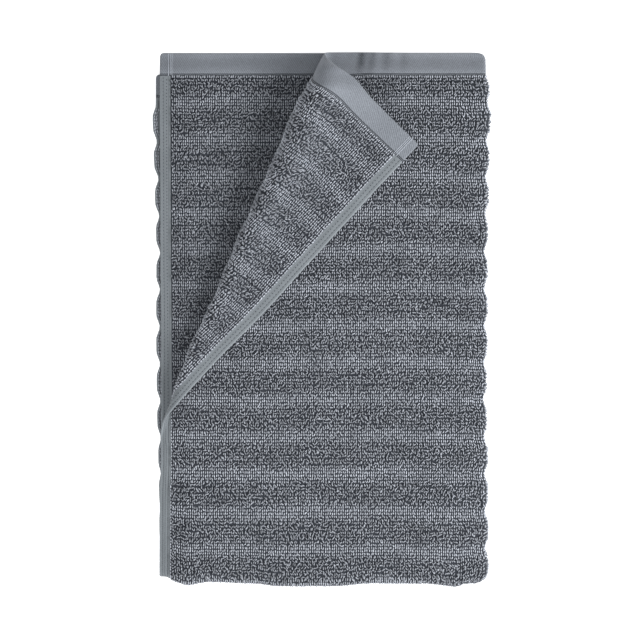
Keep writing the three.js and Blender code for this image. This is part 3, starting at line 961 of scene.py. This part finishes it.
# %% Grow the pile on each face that shows
TERRY_FROM, TERRY_TO = END_BAND + 0.8, LENGTH - END_BAND - 0.8
HEM_IN, FOLD_IN, FOLD_OUT = SIDE_HEM + 0.6, 484, 520
TOP_SPLIT, BEND_OUT = 440, MIDDLE + 24
TURNED_ACROSS, TURNED_ALONG, BELOW_ACROSS, BELOW_ALONG = 330, 620, 640, 640
top_across, under_along = (HEM_IN, FOLD_IN), (BEND_OUT, TERRY_TO)
below_across, edge_across = (BELOW_ACROSS, WIDTH - HEM_IN), (WIDTH - 6.5, WIDTH - 1)
pile = [
    grow("pile_top_far", 1, top_across, (TERRY_FROM, TOP_SPLIT), 21, lies_flat),
    grow("pile_top_near", 1, top_across, (TOP_SPLIT, BEND_OUT), 22),
    grow(
        "pile_turned_corner", -1, (HEM_IN, TURNED_ACROSS), (TERRY_FROM, TURNED_ALONG), 23,
        turned_back, calm=12, opened=1.2, dye=1.0, depth=0.68,
    ),
    # Painted shade: the layer below lies in the roll's shadow, so its loops are darker, with shallower
    # painted shade at their feet.
    grow(
        "pile_layer_below", -1, below_across, (TERRY_FROM, BELOW_ALONG), 24,
        uncovered, dye=0.81, depth=0.36,
    ),
    grow("pile_long_fold", 1, (FOLD_IN, FOLD_OUT), (TERRY_FROM, TERRY_TO), 25),
    grow("pile_underside", 1, top_across, under_along, 26, coarse=1.3),
    # Painted shade: the lower half's edge lies in shade under the upper half, so its loops are darker.
    grow("pile_lower_edge", 1, edge_across, under_along, 27, on_rib, dye=0.75),
]
print("Pile in all:", sum(len(piece.data.polygons) for piece in pile), "triangles")

# %% [markdown]
# ## The sewing
#
# Rows of small stitches hold each side hem: two rows of dark dots on the back of the cloth, where each
# stitch dives in, and three fine chains on its front. On the end bands three light cords stand up
# beside the hem, on both faces. A stitch is the loop's shape again, smaller, and a chain or a cord is a
# close row of longer ones.

# %% Sew the hems and lay the cords
FOOT_SUNK = 0.25
DOT_LINES, DOT_PITCH = (5.2, 10.4), 5.2
CHAIN_LINES, CHAIN_PITCH = (4.4, 8.4, 12.6), 3.6
CORD_PITCH, CORD_ENDS, CORD_STOPS = 2.4, 2.5, 2


def sewn(name, material, rows, length, width, rise):
    """A piece of small threads, from rows of (across, along, face)."""
    spine, side, up = MOULD[:, 0] * length, MOULD[:, 1] * width, MOULD[:, 2]
    points, faces = [], []
    for across, along, face in rows:
        foot = ground_half(across, along)[:, None] - FOOT_SUNK
        s, t = across[:, None] + side, along[:, None] + spine
        points.append(cloth_points(s, t, (foot + rise * up) * face).reshape(-1, 3))
        order = MOULD_FACES if face > 0 else MOULD_FACES[:, ::-1]
        starts = np.arange(len(across)) * len(MOULD) + sum(len(p) for p in points[:-1])
        faces.append((order[None] + starts[:, None, None]).reshape(-1, 3))
    points, faces = np.concatenate(points), np.concatenate(faces)
    low = points.min(0)[:2]
    uv = (points[:, :2] - low) / (points.max(0)[:2] - low)
    piece = new_piece(name, points, faces, [material], {"OFBake": uv[faces.ravel()]})
    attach(piece, "root")
    print(name, len(faces) // len(MOULD_FACES), "threads")
    return piece


def rows_down(places, along_span, pitch, faces=(1, -1)):
    """Rows of threads beside both side hems, on the front, on the back or on both."""
    rows = []
    for k, place in enumerate(places):
        along = np.arange(along_span[0] + (k % 2) * pitch / 2, along_span[1], pitch)
        for side in (place, WIDTH - place):
            rows += [(np.full(len(along), side), along, face) for face in faces]
    return rows


HEM_SPAN = (END_BAND + 3, LENGTH - END_BAND - 3)
dots = rows_down(DOT_LINES, HEM_SPAN, DOT_PITCH, (-1,))
stitches = sewn("hem_stitches", stitch_material, dots, 2.2, 1.6, 0.55)
chain = rows_down(CHAIN_LINES, HEM_SPAN, CHAIN_PITCH, (1,))
chains = sewn("hem_chains", stitch_material, chain, 3.9, 0.8, 0.5)
cord_rows = rows_down(CORDS, (CORD_ENDS, END_BAND - CORD_STOPS), CORD_PITCH)
cord_rows += rows_down(CORDS, (LENGTH - END_BAND + CORD_STOPS, LENGTH - CORD_ENDS), CORD_PITCH)
cords = sewn("band_cords", cord_material, cord_rows, 3.4, 0.9, 0.75)

# %% [markdown]

# %% [markdown]
# ## Floor, light and camera
#
# The sheet lies on a plain pale floor, seen from straight above. The floor glows a little, so that it
# is as white as the photo's background and takes almost no shadow. The camera stands far back with a
# long lens, so that the raised roll isn't drawn outwards. The light is broad and soft, stronger from
# the right, with a fill from the lower left that keeps the shade open.

# %% Floor
FLOOR_SIZE, FLOOR_LEVEL, FLOOR_GLOW = 12.0, -0.0006, 0.7
bpy.ops.object.select_all(action="DESELECT")
bpy.ops.mesh.primitive_plane_add(size=FLOOR_SIZE, location=(0, 0, FLOOR_LEVEL))
floor = bpy.context.object
floor.name = "floor"
floor_material, floor_shader, _ = new_material("pale floor", 0.9, 0.0)
floor_shader.inputs["Base Color"].default_value = (0.8, 0.8, 0.8, 1)
floor_shader.inputs["Emission Color"].default_value = (1, 1, 1, 1)
floor_shader.inputs["Emission Strength"].default_value = FLOOR_GLOW
floor.data.materials.append(floor_material)
print("Floor:", floor.name)

# %% Light
RIGHT, LOWER_LEFT = (2.7, -0.6, 2.0), (-1.6, -2.0, 2.2)
ROOM_COLOUR, ROOM_STRENGTH = (0.97, 0.985, 1.0, 1), 0.5


def soft_light(name, place, size, power):
    """A square soft light that faces the sheet."""
    lamp = bpy.data.lights.new(name, "AREA")
    lamp.size, lamp.energy = size, power
    holder = bpy.data.objects.new(name, lamp)
    bpy.context.scene.collection.objects.link(holder)
    holder.location = place
    holder.rotation_mode = "QUATERNION"
    holder.rotation_quaternion = holder.location.to_track_quat("Z", "Y")
    holder.visible_camera = False


soft_light("key_light", RIGHT, size=1.4, power=165.0)
soft_light("fill_light", LOWER_LEFT, size=1.2, power=52.0)
world = bpy.data.worlds.new("soft_room")
world.use_nodes = True
background = world.node_tree.nodes["Background"]
background.inputs["Color"].default_value = ROOM_COLOUR
background.inputs["Strength"].default_value = ROOM_STRENGTH
bpy.context.scene.world = world
bpy.context.scene.view_settings.view_transform = "Standard"
print("Lights: a key, a fill and an even room")

# %% Camera
CAMERA_HEIGHT, CLOTH_TOP = 9.0, 0.03
PHOTO_SIDE, PHOTO_PIXEL = 640, 1.53 * MM
SENSOR, PHOTO_CENTRE = 36.0, (-2.6, 0.1)
camera_data = bpy.data.cameras.new("camera")
camera_data.sensor_width = SENSOR
camera_data.lens = SENSOR * (CAMERA_HEIGHT - CLOTH_TOP) / (PHOTO_SIDE * PHOTO_PIXEL)
camera = bpy.data.objects.new("camera", camera_data)
camera.location = (PHOTO_CENTRE[0] * MM, PHOTO_CENTRE[1] * MM, CAMERA_HEIGHT)
bpy.context.scene.collection.objects.link(camera)
bpy.context.scene.camera = camera
print("Lens in mm:", round(camera_data.lens, 1))
